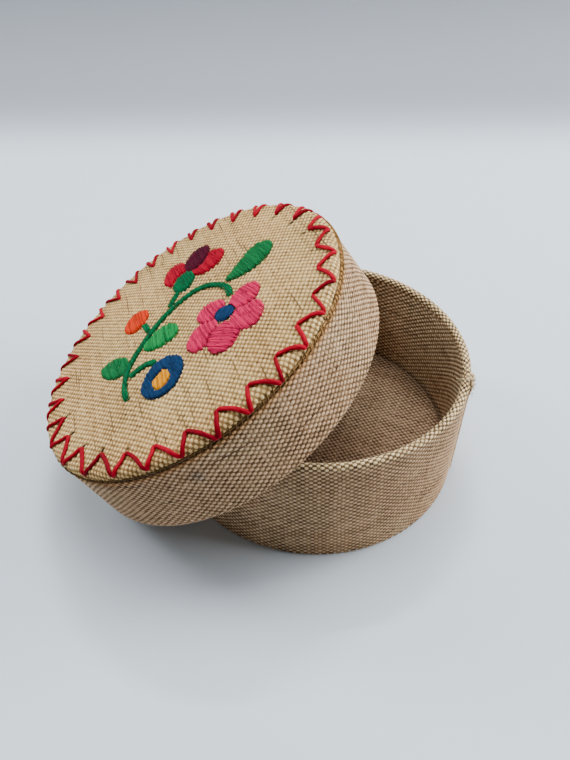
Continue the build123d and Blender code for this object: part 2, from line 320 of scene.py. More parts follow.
def pointed(triangles):
    """The triangles drawn in towards their long axis, most at its ends, so that an oval becomes a lens."""
    points = triangles.reshape(-1, 2)
    middle = points.mean(0)
    axis = np.linalg.svd(points - middle, full_matrices=False)[2][0]
    along, across = (triangles - middle) @ axis, (triangles - middle) @ [-axis[1], axis[0]]
    across = across * (1 - 0.55 * (along / np.abs(along).max()) ** 2) * 0.92
    return middle + along[..., None] * axis + across[..., None] * np.array([-axis[1], axis[0]])


SHORTEST, OVERRUN = 0.7, 0.3        # the shortest stitch, and how far each goes on past its ends, mm


def stitch_spans(triangles, angle, pitch, bridge, rng):
    """Start and end of each parallel stitch that fills the triangles and spans gaps up to bridge."""
    a = math.radians(angle)
    along, across = np.array([math.cos(a), math.sin(a)]), np.array([-math.sin(a), math.cos(a)])
    s, c = triangles @ along, triangles @ across
    spans, dips = [], []
    for level in np.arange(c.min() + 0.35 * pitch, c.max(), pitch):
        parts = []
        for corner_c, corner_s in zip(c, s):
            if corner_c.min() < level < corner_c.max():
                cuts = []
                for i in range(3):
                    j = (i + 1) % 3
                    if (corner_c[i] - level) * (corner_c[j] - level) < 0:
                        k = (level - corner_c[i]) / (corner_c[j] - corner_c[i])
                        cuts.append(corner_s[i] + k * (corner_s[j] - corner_s[i]))
                if len(cuts) == 2:
                    parts.append(sorted(cuts))
        parts.sort()
        merged = []
        for low, high in parts:
            if merged and low < merged[-1][1] + bridge:
                merged[-1][1] = max(merged[-1][1], high)
            else:
                merged.append([low, high])
        for low, high in merged:
            if high - low < SHORTEST:
                continue
            low, high = low - rng.uniform(0.0, 0.14), high + rng.uniform(0.0, 0.14)
            pieces = max(1, round((high - low) / rng.uniform(4.0, 9.0)))
            jitter = np.pad(rng.uniform(-0.25, 0.25, pieces - 1), 1)
            cuts = low + (high - low) * (np.arange(pieces + 1) + jitter) / pieces
            for start, end in zip(cuts[:-1], cuts[1:]):
                shift = rng.normal(0, 0.06, 2)
                spans.append((along * (start - OVERRUN) + across * (level + shift[0]),
                              along * (end + OVERRUN) + across * (level + shift[1])))
                dips.append((start == cuts[0], end == cuts[-1]))
    return np.array(spans), np.array(dips)


# ---------- materials

class Value:
    """A node's output, so that a material can be written as a sum."""

    def __init__(self, graph, socket):
        self.graph, self.socket = graph, socket

    def __add__(self, other):
        return self.graph.math("ADD", self, other)

    def __sub__(self, other):
        return self.graph.math("SUBTRACT", self, other)

    def __rsub__(self, other):
        return self.graph.math("SUBTRACT", other, self)

    def __mul__(self, other):
        return self.graph.math("MULTIPLY", self, other)

    def __truediv__(self, other):
        return self.graph.math("DIVIDE", self, other)


class Graph:
    """A short way to write a node material. Colours are linear (red, green, blue)."""

    def __init__(self, name):
        self.material = bpy.data.materials.new(name)
        self.material.use_nodes = True
        self.tree = self.material.node_tree
        self.shader = self.tree.nodes["Principled BSDF"]

    def put(self, socket, value):
        if isinstance(value, Value):
            self.tree.links.new(value.socket, socket)
        elif value is not None:
            socket.default_value = (*value, 1.0) if isinstance(value, tuple) else value

    def node(self, kind, inputs, output=0, **settings):
        """A node with these inputs, by number or name, and settings. Gives one of its outputs."""
        node = self.tree.nodes.new("ShaderNode" + kind)
        for setting, value in settings.items():
            setattr(node, setting, value)
        for socket, value in inputs.items():
            self.put(node.inputs[socket], value)
        return Value(self, node.outputs[output])

    def math(self, operation, a, b=None):
        return self.node("Math", {0: a, 1: b}, operation=operation)

    def span(self, value, low, high, to_low=0.0, to_high=1.0):
        """Smoothly from to_low at low to to_high at high."""
        inputs = dict(enumerate((value, low, high, to_low, to_high)))
        return self.node("MapRange", inputs, interpolation_type="SMOOTHSTEP")

    def mix(self, factor, a, b):
        return self.node("Mix", {0: factor, 2: a, 3: b}, data_type="FLOAT")

    def blend(self, factor, a, b, kind="MIX"):
        return self.node("Mix", {0: factor, 6: a, 7: b}, 2, data_type="RGBA", blend_type=kind)

    def vector(self, x, y, z=0.0):
        return self.node("CombineXYZ", {0: x, 1: y, 2: z})

    def split(self, vector):
        return [self.node("SeparateXYZ", {0: vector}, axis) for axis in (0, 1)]

    def noise(self, vector, scale, detail=2.0, roughness=0.5):
        inputs = {"Vector": vector, "Scale": scale, "Detail": detail, "Roughness": roughness}
        return self.node("TexNoise", inputs, "Fac")

    def random(self, value):
        return self.node("TexWhiteNoise", {"W": value}, "Value", noise_dimensions="1D")

    def ramp(self, factor, *stops):
        node = self.tree.nodes.new("ShaderNodeValToRGB")
        ramp = node.color_ramp
        while len(ramp.elements) < len(stops):
            ramp.elements.new(0.5)
        for element, (place, colour) in zip(ramp.elements, stops):
            element.position = place
            element.color = (*colour, 1.0)
        self.put(node.inputs[0], factor)
        return Value(self, node.outputs[0])

    def uv(self):
        return self.split(self.node("UVMap", {}, uv_map="UVMap"))

    def mark(self, name):
        return self.node("Attribute", {}, "Fac", attribute_name=name)

    def place(self):
        return self.node("TexCoord", {}, "Object")

    def surface(self, colour, roughness, specular, height, strength, distance):
        """Sets the shader's colour, roughness, specular level and bump."""
        normal = self.node("Bump", {"Strength": strength, "Distance": distance, "Height": height})
        for name, value in (("Base Color", colour), ("Roughness", roughness),
                            ("Specular IOR Level", specular), ("Normal", normal)):
            self.put(self.shader.inputs[name], value)
        return self.material


def srgb(r, g, b):
    """A linear colour from the usual 0 to 255 values."""
    def linear(c):
        c /= 255
        return c / 12.92 if c <= 0.04045 else ((c + 0.055) / 1.055) ** 2.4
    return linear(r), linear(g), linear(b)


def linen_material(name, deep, low, mid, high, relief=0.6, lift=0.06):
    """Plain-woven linen with uneven yarn, loose rows, twist and marks.

    Its colours go from deep in the gaps to high on the threads' backs, by how high the threads stand: painted shade
    in the gaps and a painted highlight on the backs. lift brightens them all.
    """
    g = Graph(name)
    u, v = g.uv()
    warp, weft = g.math("FLOOR", u), g.math("FLOOR", v)
    x, y = g.math("FRACT", u) - 0.5, g.math("FRACT", v) - 0.5
    over = 1.0 - g.math("FLOORED_MODULO", warp + weft, 2.0) * 2.0

    def back(across, half):
        flat = across / half
        return g.math("SQRT", g.math("MAXIMUM", 1.0 - flat * flat, 0.0))

    def wave(along, rise):
        return over * rise * g.math("COSINE", along * math.pi)

    thick = g.span(g.noise(g.vector(u * 0.35, weft), 0.9), 0.3, 0.7, 0.8, 1.15)
    weft_top = wave(x, WEFT_RISE) + back(y, WEFT_HALF) * WEFT_BACK * thick
    warp_top = wave(y, -WARP_RISE) + back(x, WARP_HALF) * WARP_BACK
    height = g.math("MAXIMUM", g.math("MAXIMUM", weft_top, warp_top), 0.0)
    crossing = g.math("SINE", u * math.pi) * g.math("SINE", v * math.pi)
    # How high the thread stands here; it sets the painted shade in the gaps and the painted highlight on the bumps.
    raised = g.span(height, 0.02, WEFT_RISE + WEFT_BACK, 0.0, 0.5) + g.span(crossing, -1.0, 1.0, 0.0, 0.5)
    on_weft = g.math("GREATER_THAN", weft_top, warp_top)

    thread = g.mix(on_weft, warp + 2000.5, weft)
    streak = g.mix(on_weft, g.noise(g.vector(u, v * 0.2, 7.0), 1.0, 3.0), g.noise(g.vector(u * 0.2, v), 1.0, 3.0))
    patch = g.noise(g.place(), 60.0, 3.0, 0.6)
    crossing_tone = g.random(warp * 17.3 + weft * 3.71)
    tone = g.random(thread) * 0.25 + streak * 0.5 + (patch - 0.5) * 0.6 + (crossing_tone - 0.5) * 0.3
    # Painted light and shade: the colour runs from dark in the gaps to bright on the raised threads.
    shade = raised * 0.8 + (tone - 0.31) * 0.6 + lift
    colour = g.ramp(shade, (0.04, deep), (0.32, low), (0.6, mid), (0.92, high))

    # Painted shade in the gaps where rows have come loose.
    loose = g.noise(g.vector(u * 0.055, g.math("ROUND", v) * 5.3), 1.0, 1.0)
    loose = g.span(loose, 0.6, 0.72) * g.span(g.math("ABSOLUTE", y), 0.24, 0.31)
    colour = g.blend(loose * 0.8, colour, deep)
    warmth = g.span(g.noise(g.place(), 33.0, 2.0), 0.38, 0.62, 0.0, 0.35)
    colour = g.blend(warmth, colour, (1.0, 0.83, 0.8), "MULTIPLY")
    # The colours of the painted highlight on the rim: deep gaps, lighter backs.
    painted_shading = g.ramp(shade, (0.1, deep), (0.35, low), (0.6, (0.56, 0.4, 0.2)), (0.85, (0.86, 0.67, 0.39)))
    # Marks, in order: a painted highlight on the rim, painted shade in the needle holes, a golden tint near the seam,
    # painted shade in the groove under the top, and a faint blue-grey smudge of dirt.
    for mark, tint, kind in (("pale", painted_shading, "MIX"), ("needle_hole_shade", (0.03, 0.015, 0.008), "MIX"),
                             ("ochre", (0.92, 0.68, 0.42), "MULTIPLY"), ("painted_groove_shade", deep, "MIX"),
                             ("smudge", (0.5, 0.66, 0.95), "MULTIPLY")):
        colour = g.blend(g.mark(mark), colour, tint, kind)

    along, across = g.mix(on_weft, y, x), g.mix(on_weft, x, y)
    twist = g.math("SINE", (along * 3.2 + across * 2.4) * 6.2832)
    fine = twist * 0.02 + g.noise(g.vector(u, v), 9.0, 3.0, 0.7) * 0.08
    return g.surface(colour, g.span(streak, 0.3, 0.7, 0.84, 0.97), 0.06, height + fine, relief, 0.001)


def cotton_material(name, colour, roughness=0.68):
    """Stranded cotton: fine strands along each stitch, a soft sheen, each stitch its own tone."""
    g = Graph(name)
    u, v = g.uv()
    stitch = g.math("FLOOR", v)
    lay = g.math("FRACT", v) * 9.0 + u * 0.55
    fibre = g.noise(g.vector(u * 0.35, lay, stitch), 1.6, 3.0, 0.6)
    shade = fibre * 0.8 + (g.random(stitch + 0.5) - 0.5) * 0.4
    lit = g.ramp(shade, (0.12, shaded(colour, 0.45)), (0.42, colour), (0.78, shaded(colour, 1.55)))
    # Painted shade where the thread lies in the groove under the lid's top.
    tinted = g.blend(g.mark("painted_groove_shade"), lit, shaded(colour, 0.35))
    rough = g.span(fibre, 0.3, 0.7, roughness - 0.08, roughness + 0.12)
    ply = g.math("SINE", lay * 3.1416)
    return g.surface(tinted, rough, 0.06, fibre + ply * 0.3, 0.6, 0.00012)


def shaded(colour, share):
    return tuple(min(1.0, c * share) for c in colour)


def board_material(name):
    """Grey-brown bookbinder's board: felted fibres, specks and a faint grain."""
    g = Graph(name)
    grain, cloud = g.noise(g.place(), 900.0, 4.0, 0.7), g.noise(g.place(), 70.0, 3.0)
    colour = g.ramp(grain * 0.6 + cloud * 0.5,
                    (0.3, srgb(120, 104, 84)), (0.55, srgb(158, 141, 116)), (0.8, srgb(186, 172, 148)))
    return g.surface(colour, g.span(grain, 0.3, 0.7, 0.82, 0.96), 0.2, grain, 0.4, 0.0002)


def wadding_material(name):
    """White cotton wadding: soft clumps and loose fibres."""
    g = Graph(name)
    clump, fibre = g.noise(g.place(), 260.0, 5.0, 0.65), g.noise(g.place(), 2400.0, 3.0, 0.7)
    colour = g.ramp(clump * 0.6 + fibre * 0.4,
                    (0.3, srgb(214, 208, 196)), (0.6, srgb(236, 232, 222)), (0.8, srgb(246, 244, 238)))
    g.shader.inputs["Sheen Weight"].default_value = 0.4
    return g.surface(colour, g.span(fibre, 0.3, 0.7, 0.88, 1.0), 0.15, clump + fibre, 0.7, 0.0004)


# One linen covers the lid's top and every side: a lighter copy for the top, where it is lit, and a darker copy for
# the sides, the base's underside and the seam strip, as painted light and shade.
LIT_LINEN_TOP = linen_material("lit_linen_top", (0.1, 0.052, 0.022), (0.29, 0.172, 0.064), (0.58, 0.385, 0.155),
                           (0.8, 0.575, 0.27), 0.5, 0.05)
SHADED_LINEN = linen_material("linen", (0.05, 0.026, 0.015), (0.18, 0.108, 0.055), (0.43, 0.28, 0.155),
                       (0.7, 0.49, 0.3))
# The linings are one cloth too: a lighter copy for the walls and a darker copy for the floor and the ceiling, as
# painted light and shade.
LIT_WALL_LINING = linen_material("lit_linen_wall_lining", (0.09, 0.05, 0.028), (0.25, 0.165, 0.09),
                             (0.52, 0.37, 0.22), (0.76, 0.58, 0.38))
SHADED_LINING = linen_material("shaded_linen_lining", (0.035, 0.018, 0.01), (0.12, 0.072, 0.038), (0.27, 0.178, 0.105),
                        (0.44, 0.31, 0.2))
LOOSE_FIBRE = cotton_material("loose_linen_fibre", (0.72, 0.55, 0.36), 0.8)
SEAM_THREAD = cotton_material("seam_cotton", (0.29, 0.155, 0.052), 0.7)
RED = cotton_material("red_cotton", (0.29, 0.0005, 0.012))
CRIMSON = cotton_material("crimson_cotton", (0.33, 0.0004, 0.016))
MAROON = cotton_material("maroon_cotton", (0.06, 0.002, 0.013))
DARK_GREEN = cotton_material("dark_green_cotton", (0.0003, 0.10, 0.032))
GREEN = cotton_material("green_cotton", (0.007, 0.125, 0.034))
LIGHT_GREEN = cotton_material("light_green_cotton", (0.006, 0.2, 0.045))
ORANGE = cotton_material("orange_cotton", (0.55, 0.03, 0.004))
PINK = cotton_material("pink_cotton", (0.54, 0.012, 0.075))
BLUE = cotton_material("blue_cotton", (0.005, 0.03, 0.09))
YELLOW = cotton_material("yellow_cotton", (0.68, 0.25, 0.0))
BOARD = board_material("bookbinder_board")
WADDING = wadding_material("cotton_wadding")


# ---------- base

def painted_rim_highlight(_, h):
    """1 where the cloth turns over the base's rim and a highlight is painted on it, making it paler, at any angle."""
    return np.clip((h - 40.7) / 0.8, 0, 1)


def make_base():
    radii, heights = base.ring("base_outer_cover")
    foot, top = radii.max(), heights.max()
    lip_in = radii.min()
    fold_z = heights[radii < lip_in + 0.6].min()
    lip_out = radii[heights > fold_z + 1.0].max()
    half = (lip_out - lip_in) / 2
    lip = (lip_out - half, top - half)
    strip = base.inside(node_points("base_seam_strip")).mean(0)
    seam = math.degrees(math.atan2(strip[1], strip[0]))

    outer = Profile([(foot, 0.3), (lip_out, top - half)] + arc(lip, half, 8, 180) + [(lip_in, fold_z + 0.1)])
    # The cloth over the rim is painted paler as a highlight.
    cover = cloth_band("base_cover_cloth", "base", base, outer, (1.11, 0.85), 2.4, -3.0, seam, SHADED_LINEN, 11,
                       marks={"pale": painted_rim_highlight})
    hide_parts("base_outer_cover")
    2 * math.pi * foot * MM
    make_seam_strip(outer, seam)

    radii, heights = base.ring("base_inner_lining")
    wall = Profile([(radii[heights < heights.min() + 1].min(), heights.min() + 1.5), (lip_in, heights.max())],
                   side=-1.0)
    lining = cloth_band("base_lining_cloth", "base", base, wall, (1.19, 0.86), 2.4, 3.0, 170.0, LIT_WALL_LINING,
                        23, lap=4.0)
    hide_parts("base_inner_lining")
    2 * math.pi * lip_in * MM

    radii, heights = base.ring("base_floor_lining")
    edge = 2.1
    corner = (radii.max() - edge, heights.max() - edge)
    floor = Profile([(0, heights.max())] + arc(corner, edge, 90, 0) + [(radii.max(), heights.min() + 0.5)], side=-1.0)
    pad = cloth_disc("base_floor_cloth", "base", base, floor, (1.02, 0.85), 3, -24.0, SHADED_LINING, 31)
    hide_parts("base_floor_lining")
    reach = 2 * floor.length * MM
    math.pi / 4 * reach ** 2

    radii, heights = base.ring("base_bottom_cover")
    under = Profile([(0, 0.3), (radii.max(), 0.3)], side=1.0)
    bottom = cloth_disc("base_bottom_cloth", "base", base, under, (1.11, 0.85), 2, 40.0, SHADED_LINEN, 37)
    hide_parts("base_bottom_cover")
    reach = 2 * radii.max() * MM
    math.pi / 4 * reach ** 2


def make_seam_strip(outer, seam):
    """The cloth's lapped end, a little raised, with fibres worked loose where it turns over the rim."""
    half = 2.7
    s = np.linspace(-half, half, 17)
    t = np.linspace(0.2, outer.length - 3.0, 180)
    tt, ss = np.meshgrid(t, s, indexing="ij")
    rng = np.random.default_rng(3)
    ragged = 1 + 0.12 * np.repeat(rng.uniform(-1, 1, 90), 2)[:, None] * (np.abs(ss) > 2.0)
    uu, vv = ss / 1.05 + 0.4, tt / 0.85
    r, h, nr, nh = outer.at(tt)
    edge = np.clip((half - np.abs(ss)) / 0.7, 0, 1)
    fluffed = 0.5 * np.exp(-(((tt - outer.length + 6.5) / 3.2) ** 2))
    out = weave_height(uu, vv) + 0.15 + 0.35 * np.sqrt(edge) + fluffed * edge
    turn = math.radians(seam) + ss * ragged / r
    verts = base.around(r + out * nr, turn, h + out * nh)
    faces = grid_faces(len(t), len(s), closed=False)
    # Paler towards the rim: the rim's painted highlight, together with the real paleness of the fibres worked loose
    # there.
    pale = np.clip((tt - outer.length + 11.0) / 4.0, 0, 1) * 0.9
    strip = make_piece("base_seam_cloth", "base", verts.reshape(-1, 3), [faces], [corner_uvs(uu, vv, faces)],
                       SHADED_LINEN, {"pale": pale.ravel()})
    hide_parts("base_seam_strip")

    count, steps = 46, 8
    start = outer.length - 6.5 + rng.normal(0, 2.2, count)
    side = rng.uniform(-2.8, 2.8, count)
    k = np.linspace(0, 1, steps)
    reach = rng.uniform(0.3, 1.5, count)
    sweep_s, sweep_t = rng.normal(0, 1.4, count), rng.normal(0, 1.2, count)
    at_t = start[:, None] + sweep_t[:, None] * k
    at_s = side[:, None] + sweep_s[:, None] * k + 0.25 * np.sin(5 * k[None] + 9 * side[:, None])
    lift = 0.3 + reach[:, None] * np.sin(k * 2.4)[None]
    r, h, nr, nh = outer.at(np.clip(at_t, 0.5, outer.length - 0.5))
    turn = math.radians(seam) + at_s / r
    paths = base.around(r + lift * nr, turn, h + lift * nh)
    normals = base.direction(nr, turn, nh)
    verts, faces, uvs = tubes(paths, normals, 0.075, 0.075, sides=5)
    fray = make_piece("base_seam_fray", "base", verts, faces, uvs, LOOSE_FIBRE)
    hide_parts("base_seam_strip")
    return [strip, fray]


# ---------- lid

PAD_REACH, PAD_CELLS = 51.0, 26     # the padded part's radius in mm, and its grid's cells from the middle to the edge


def lid_top_profile():
    radii, heights = lid.ring("lid_top_cover")
    edge = 2.4
    corner = (radii.max() - edge, heights.max() - edge)
    points = [(0, heights.max())] + arc(corner, edge, 90, 0) + [(radii.max() - 0.5, heights.min() + 0.05)]
    return Profile(points, side=-1.0)


def inside_any(x, y, triangles):
    """True for each point that lies in one of the triangles."""
    found = np.zeros(x.shape, bool)
    for a, b, c in triangles:
        turns = [(q[0] - p[0]) * (y - p[1]) - (q[1] - p[1]) * (x - p[0]) for p, q in ((a, b), (b, c), (c, a))]
        found |= np.all([t >= 0 for t in turns], axis=0) | np.all([t <= 0 for t in turns], axis=0)
    return found


def simulate_padding():
    """Heights from 0 to 1 over a square grid: cloth that wadding pushes up, held by its edge and by the stitching.

    It is solved at ten times its size, where Blender's cloth is steady, and read back as a share of its own height.
    """
    count = 2 * PAD_CELLS + 1
    x, y = np.meshgrid(*[np.linspace(-PAD_REACH, PAD_REACH, count)] * 2, indexing="ij")
    radius = np.hypot(x, y)
    top_h = lid.ring("lid_top_cover")[1].max()
    stitched = np.concatenate([node_outline(node, top_h + 0.25) for node in STITCHES])
    faces = grid_faces(count, count, closed=False)
    faces = faces[(radius <= PAD_REACH + 1e-6).ravel()[faces].all(1)]
    used, index = np.unique(faces, return_inverse=True)
    mesh = bpy.data.meshes.new("padding_cloth")
    mesh.from_pydata([(px / 100, py / 100, 0.0) for px, py in zip(x.ravel()[used], y.ravel()[used])], [],
                     [tuple(int(i) for i in f) for f in index.reshape(-1, 4)])
    cloth = new_object("padding_cloth", mesh)
    held = cloth.vertex_groups.new(name="held")
    edge = radius.ravel()[used] > PAD_REACH - 2.0
    sewn = inside_any(x.ravel()[used], y.ravel()[used], stitched)
    held.add(np.nonzero(edge)[0].tolist(), 1.0, "REPLACE")
    held.add(np.nonzero(sewn & ~edge)[0].tolist(), 0.06, "REPLACE")
    physics = cloth.modifiers.new("cloth", "CLOTH")
    solver = physics.settings
    solver.quality = 6
    solver.mass = 0.3
    solver.tension_stiffness = solver.compression_stiffness = 25.0
    solver.shear_stiffness = 8.0
    solver.bending_stiffness = 1.5
    solver.use_pressure = True
    solver.uniform_pressure_force = 4.0
    solver.vertex_group_mass = "held"
    solver.effector_weights.gravity = 0.0
    physics.collision_settings.use_collision = False
    scene = bpy.context.scene
    for step in range(1, 31):
        scene.frame_set(step)
    solved = cloth.evaluated_get(bpy.context.evaluated_depsgraph_get()).to_mesh()
    points = np.empty(len(solved.vertices) * 3, np.float32)
    solved.vertices.foreach_get("co", points)
    scene.frame_set(1)
    bpy.data.objects.remove(cloth)
    relief = np.zeros(count * count)
    relief[used] = points.reshape(-1, 3)[:, 2]
    relief = np.abs(relief) / max(np.abs(relief).max(), 1e-9)
    return relief.reshape(count, count)


def padded_crown(x, y):
    """How far the wadding lifts the top at a point, with the slight unevenness of hand-drawn cloth."""
    i = np.clip((np.asarray(x) / PAD_REACH + 1) * PAD_CELLS, 0, 2 * PAD_CELLS - 1e-6)
    j = np.clip((np.asarray(y) / PAD_REACH + 1) * PAD_CELLS, 0, 2 * PAD_CELLS - 1e-6)
    i0, j0 = i.astype(int), j.astype(int)
    fi, fj = i - i0, j - j0
    lift = (PAD_RELIEF[i0, j0] * (1 - fi) * (1 - fj) + PAD_RELIEF[i0 + 1, j0] * fi * (1 - fj)
            + PAD_RELIEF[i0, j0 + 1] * (1 - fi) * fj + PAD_RELIEF[i0 + 1, j0 + 1] * fi * fj)
    rim = np.clip(1 - (x ** 2 + y ** 2) / PAD_REACH ** 2, 0, 1)
    return 0.95 * lift + 0.22 * rim ** 0.8 * smooth_noise(x, y, 71, 34)


def away(angle, centre):
    """Degrees from centre to angle, the short way round."""
    return (angle - centre + 180) % 360 - 180


def swell(angle, h):
    """The hand-made lid is a little fuller near its seam on the right of the front."""
    off = away(np.degrees(angle), -32)
    return 0.85 * np.exp(-((off / 30) ** 2)) * np.clip((h - 4) / 15, 0, 1)


def near_seam(_, h):
    """Above 0 where the side nears the seam and looks more golden, at any angle."""
    return np.clip((h - 20.6) / 1.6, 0, 1) * 0.8


def groove_depth(angle):
    """1 where the top overhangs the seam and hides it in a groove, on the front and left; 0 elsewhere. It sinks the
    seam thread into the groove and scales the groove's painted shade.
    """
    return np.exp(-((away(np.degrees(angle), -92) / 52) ** 4))


# Painted shade on the side cloth in the groove under the overhanging top, near the seam.
def groove_shade_mask(angle, h):
    return np.clip((h - 22.1) / 0.8, 0, 1) * groove_depth(angle)


def smudge(angle, h):
    """A faint blue-grey mark on the side."""
    off = away(np.degrees(angle), -85)
    return 0.75 * np.exp(-((off * 0.95 / 1.6) ** 2) - ((h - 16.5) / 1.7) ** 2)


def make_lid_shell():
    radii, heights = lid.ring("lid_side_cover")
    foot = radii.max()
    seam_h = heights.max()
    shoulder, fillet = seam_h - 0.9, 0.7
    seam_r = radii[heights > shoulder].max()
    lip_in = radii[heights < 4].min()
    half = (foot - lip_in) / 2
    lip = (foot - half, half)
    side = Profile([(lip_in, 2.9)] + arc(lip, half, 180, 360) + [(seam_r, shoulder)]
                   + arc((seam_r - fillet, shoulder), fillet, 0, 80, 6))
    # The side cloth is tinted golden near the seam, gets painted shade in the groove under the top, and carries a
    # faint smudge of dirt.
    cover = cloth_band("lid_side_cloth", "lid", lid, side, (1.15, 0.82), 2.8, 6.0, 163.0, SHADED_LINEN, 43,
                       lap=5.0, swell=swell, marks={"ochre": near_seam, "painted_groove_shade": groove_shade_mask, "smudge": smudge})
    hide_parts("lid_side_cover")
    2 * math.pi * foot * MM

    radii, heights = lid.ring("lid_side_lining")
    wall = Profile([(lip_in, heights.min()), (radii.min(), heights.max())], side=-1.0)
    lining = cloth_band("lid_lining_cloth", "lid", lid, wall, (1.19, 0.86), 2.0, 3.0, 150.0, LIT_WALL_LINING,
                        47, lap=4.0)
    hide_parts("lid_side_lining")
    2 * math.pi * radii.min() * MM

    radii, heights = lid.ring("lid_ceiling_lining")
    under = Profile([(0, heights.min()), (radii.max(), heights.min())], side=1.0)
    ceiling = cloth_disc("lid_ceiling_cloth", "lid", lid, under, (1.02, 0.85), 2, 12.0, SHADED_LINING, 53)
    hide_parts("lid_ceiling_lining")
    reach = 2 * radii.max() * MM
    math.pi / 4 * reach ** 2


def painted_hole_shade(x, y):
    """Painted shade of small holes where the zigzag's thread goes down through the cloth, inside each tooth: dark
    marks, with no hole in the mesh.
    """
    total = np.zeros(x.shape)
    rng = np.random.default_rng(8)
    for k in range(TOOTH_COUNT):
        angle, radius = inner_vertex(k)
        a = math.radians(angle + rng.normal(0, 0.5))
        along = x * math.cos(a) + y * math.sin(a) - radius + rng.uniform(0.8, 1.8)
        across = y * math.cos(a) - x * math.sin(a) + rng.normal(0, 0.25) * along
        # The painted hole shade is stronger at some angles round the lid.
        painted_shading = 0.3 + bump(angle, -122, 20) + bump(angle, 28, 12) + bump(angle, 212, 14)
        depth = painted_shading * rng.uniform(0.9, 1.8)
        total += depth * np.exp(-((along / rng.uniform(0.8, 1.5)) ** 2) - (across / 0.58) ** 2)
    return np.clip(total, 0, 1)


def make_lid_top():
    top = lid_top_profile()
    # The top cloth gets painted shade in small holes inside the zigzag's teeth.
    cloth = cloth_disc("lid_top_cloth", "lid", lid, top, (1.108, 0.89), 3, 108.0, LIT_LINEN_TOP, 61,
                       padded_crown, swell, {"needle_hole_shade": painted_hole_shade})
    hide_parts("lid_top_cover")


# ---------- embroidery

STITCHES = {
    # node: (material, slot, stitch angle in degrees)
    "maroon_petal": (MAROON, "maroon_thread", 112),
    "sepal": (DARK_GREEN, "dark_green_thread", 114),
    "red_petal_right": (CRIMSON, "red_thread", 118),
    "red_petal_left": (CRIMSON, "red_thread", 110),
    "pink_flower_centre": (BLUE, "blue_thread", 62),
    "pink_petal_1": (PINK, "pink_thread", 116),
    "pink_petal_2": (PINK, "pink_thread", 124),
    "pink_petal_3": (PINK, "pink_thread", 116),
    "pink_petal_4": (PINK, "pink_thread", 150),
    "pink_petal_5": (PINK, "pink_thread", 112),
    "navy_flower_centre": (YELLOW, "yellow_thread", 104),
    "navy_flower_ring": (BLUE, "blue_thread", 114),
    "orange_bud": (ORANGE, "orange_thread", 108),
    "main_stem": (DARK_GREEN, "dark_green_thread", 118),
    "sepal_stalk": (DARK_GREEN, "dark_green_thread", 124),
    "bud_stalk": (DARK_GREEN, "dark_green_thread", 106),
    "navy_flower_stalk": (DARK_GREEN, "dark_green_thread", 116),
    "leaf_upper": (GREEN, "green_thread", 118),
    "leaf_middle": (LIGHT_GREEN, "green_thread", 102),
    "leaf_left": (GREEN, "green_thread", 114),
}
PITCH, CENTRE_PITCH = 0.31, 0.33    # mm between stitches, in the blocks and in the yellow centre
BRIDGE, RING_BRIDGE = 0.3, 3.2      # gaps in mm that a stitch spans, in the blocks and across the ring's hole
DIP, DIP_SHARE = 0.3, 0.22   # how deep a stitch's ends go in mm, and the share of its length they take


def make_embroidery():
    top_h = lid.ring("lid_top_cover")[1].max()
    for number, (node, (material, slot, angle)) in enumerate(STITCHES.items()):
        rng = np.random.default_rng(100 + number)
        outline = node_outline(node, top_h + 0.25)
        pitch = PITCH
        if node == "navy_flower_centre":
            outline, pitch = pointed(outline), CENTRE_PITCH
        bridge = RING_BRIDGE if node == "navy_flower_ring" else BRIDGE
        spans, dips = stitch_spans(outline, angle, pitch, bridge, rng)
        k = np.linspace(0, 1, 11)
        flat = spans[:, 0, None] * (1 - k)[None, :, None] + spans[:, 1, None] * k[None, :, None]
        length = np.linalg.norm(spans[:, 1] - spans[:, 0], axis=1)
        rise = np.minimum(0.5, 0.25 + 0.07 * length) + rng.normal(0, 0.035, len(spans))
        first, last = (np.clip(share / DIP_SHARE, 0, 1)[None] ** 0.6 for share in (k, 1 - k))
        first = np.where(dips[:, :1], first, 0.85 + 0.15 * first)
        last = np.where(dips[:, 1:], last, 0.85 + 0.15 * last)
        h = top_h + padded_crown(flat[..., 0], flat[..., 1]) - DIP + (rise[:, None] + DIP) * first * last
        paths = lid.world(flat[..., 0], flat[..., 1], h)
        normals = np.broadcast_to(lid.n, paths.shape)
        wide = pitch * rng.uniform(0.62, 0.82, len(spans))
        verts, faces, uvs = tubes(paths, normals, wide, 0.17, sides=6)
        piece = make_piece(f"{node}_stitches", "lid", verts, faces, uvs, material)
        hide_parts(node)


TOOTH_COUNT = 30
FAR_START, FAR_END = 12, 205        # the angles between which the teeth go down over the lid's edge


def inner_vertex(k):
    """Inner end of edge stitch k: its angle in degrees and its radius in mm."""
    even = -360.0 * k / TOOTH_COUNT
    a = math.radians(even)
    angle = even + 2.5 + 2.5 * math.cos(a - 0.38) + 2.3 * math.cos(2 * a - 2.31)
    return angle, 46.9 + 1.5 * math.cos(a + 0.63)


def on_top(profile, angle, rho, lift):
    """Points and normals on the lid's top and edge, at a distance rho along the cloth from its centre."""
    r, h, nr, nh = profile.at(rho)
    h = h + padded_crown(r * np.cos(angle), r * np.sin(angle))
    out = r + lift * nr + swell(angle, h) * (r / profile.points[-1, 0]) ** 4
    points = lid.around(out, angle, h + lift * nh)
    return points, lid.direction(nr, angle, nh)


def bump(angle, centre, width):
    """1 at the angle centre, fading away over width degrees."""
    return math.exp(-((away(angle, centre) / width) ** 2))


def edge_feet(angle):
    """How far to the left and right of its tip, in degrees, a tooth goes over the edge."""
    left = 5.6 - 5.0 * bump(angle, 58, 50) - 1.2 * bump(angle, 190, 40)
    right = 5.6 - 0.5 * bump(angle, 50, 40) - 3.2 * bump(angle, 107, 22) - 1.6 * bump(angle, 185, 40)
    return left, right


